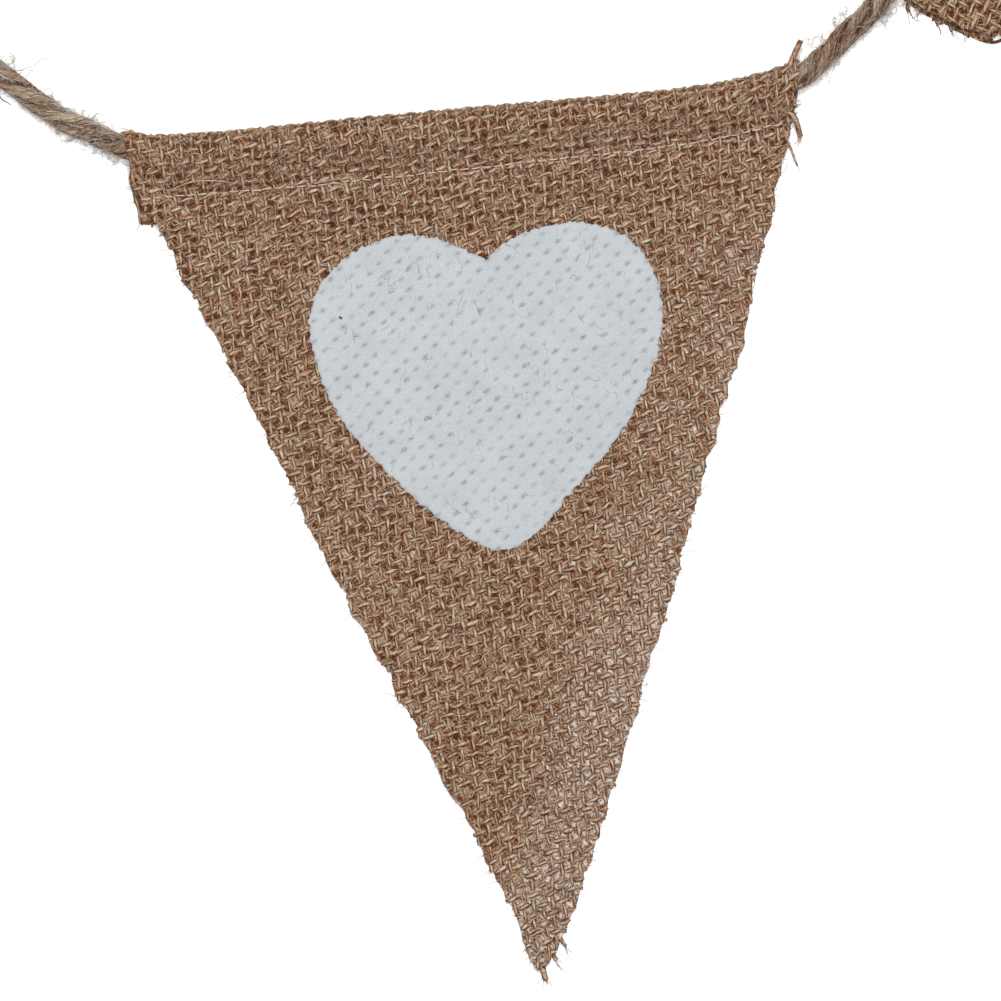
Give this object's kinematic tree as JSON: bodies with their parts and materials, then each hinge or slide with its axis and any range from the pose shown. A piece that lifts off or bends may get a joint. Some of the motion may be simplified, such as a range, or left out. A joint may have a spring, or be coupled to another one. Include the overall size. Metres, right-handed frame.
{
  "type": "fabric bunting",
  "caption": "Hessian bunting with triangular pennants on a jute twine through stitched casings, one painted with a heart, laid out flat with the tie ends coiled.",
  "frame": {"origin": "on the surface that the bunting lies on, under the middle of the box round the pennants, without the free twine", "axes": "+Z up from the surface through the cloth's thickness; +X to the right and +Y up in the view from above, with the heart pennant's tip pointing to -Y"},
  "size_m": [0.4725, 0.3783, 0.0099],
  "materials": {
    "hessian_painted": "natural brown jute hessian, plain weave, matt",
    "hessian": "natural brown jute hessian, plain weave, matt",
    "jute_twine": "laid jute twine, hairy, matt",
    "thread": "pale tan cotton sewing thread",
    "heart_paint": "matt white print paint soaked into the cloth's face"
  },
  "bodies": {
    "root": {"pennant_heart": "hessian_painted", "pennant_plain": "hessian", "twine": "jute_twine", "coil_left": "jute_twine", "coil_right": "jute_twine", "tie_left": "thread", "tie_right": "thread", "knot_left": "jute_twine", "knot_right": "jute_twine"}
  },
  "joints": []
}
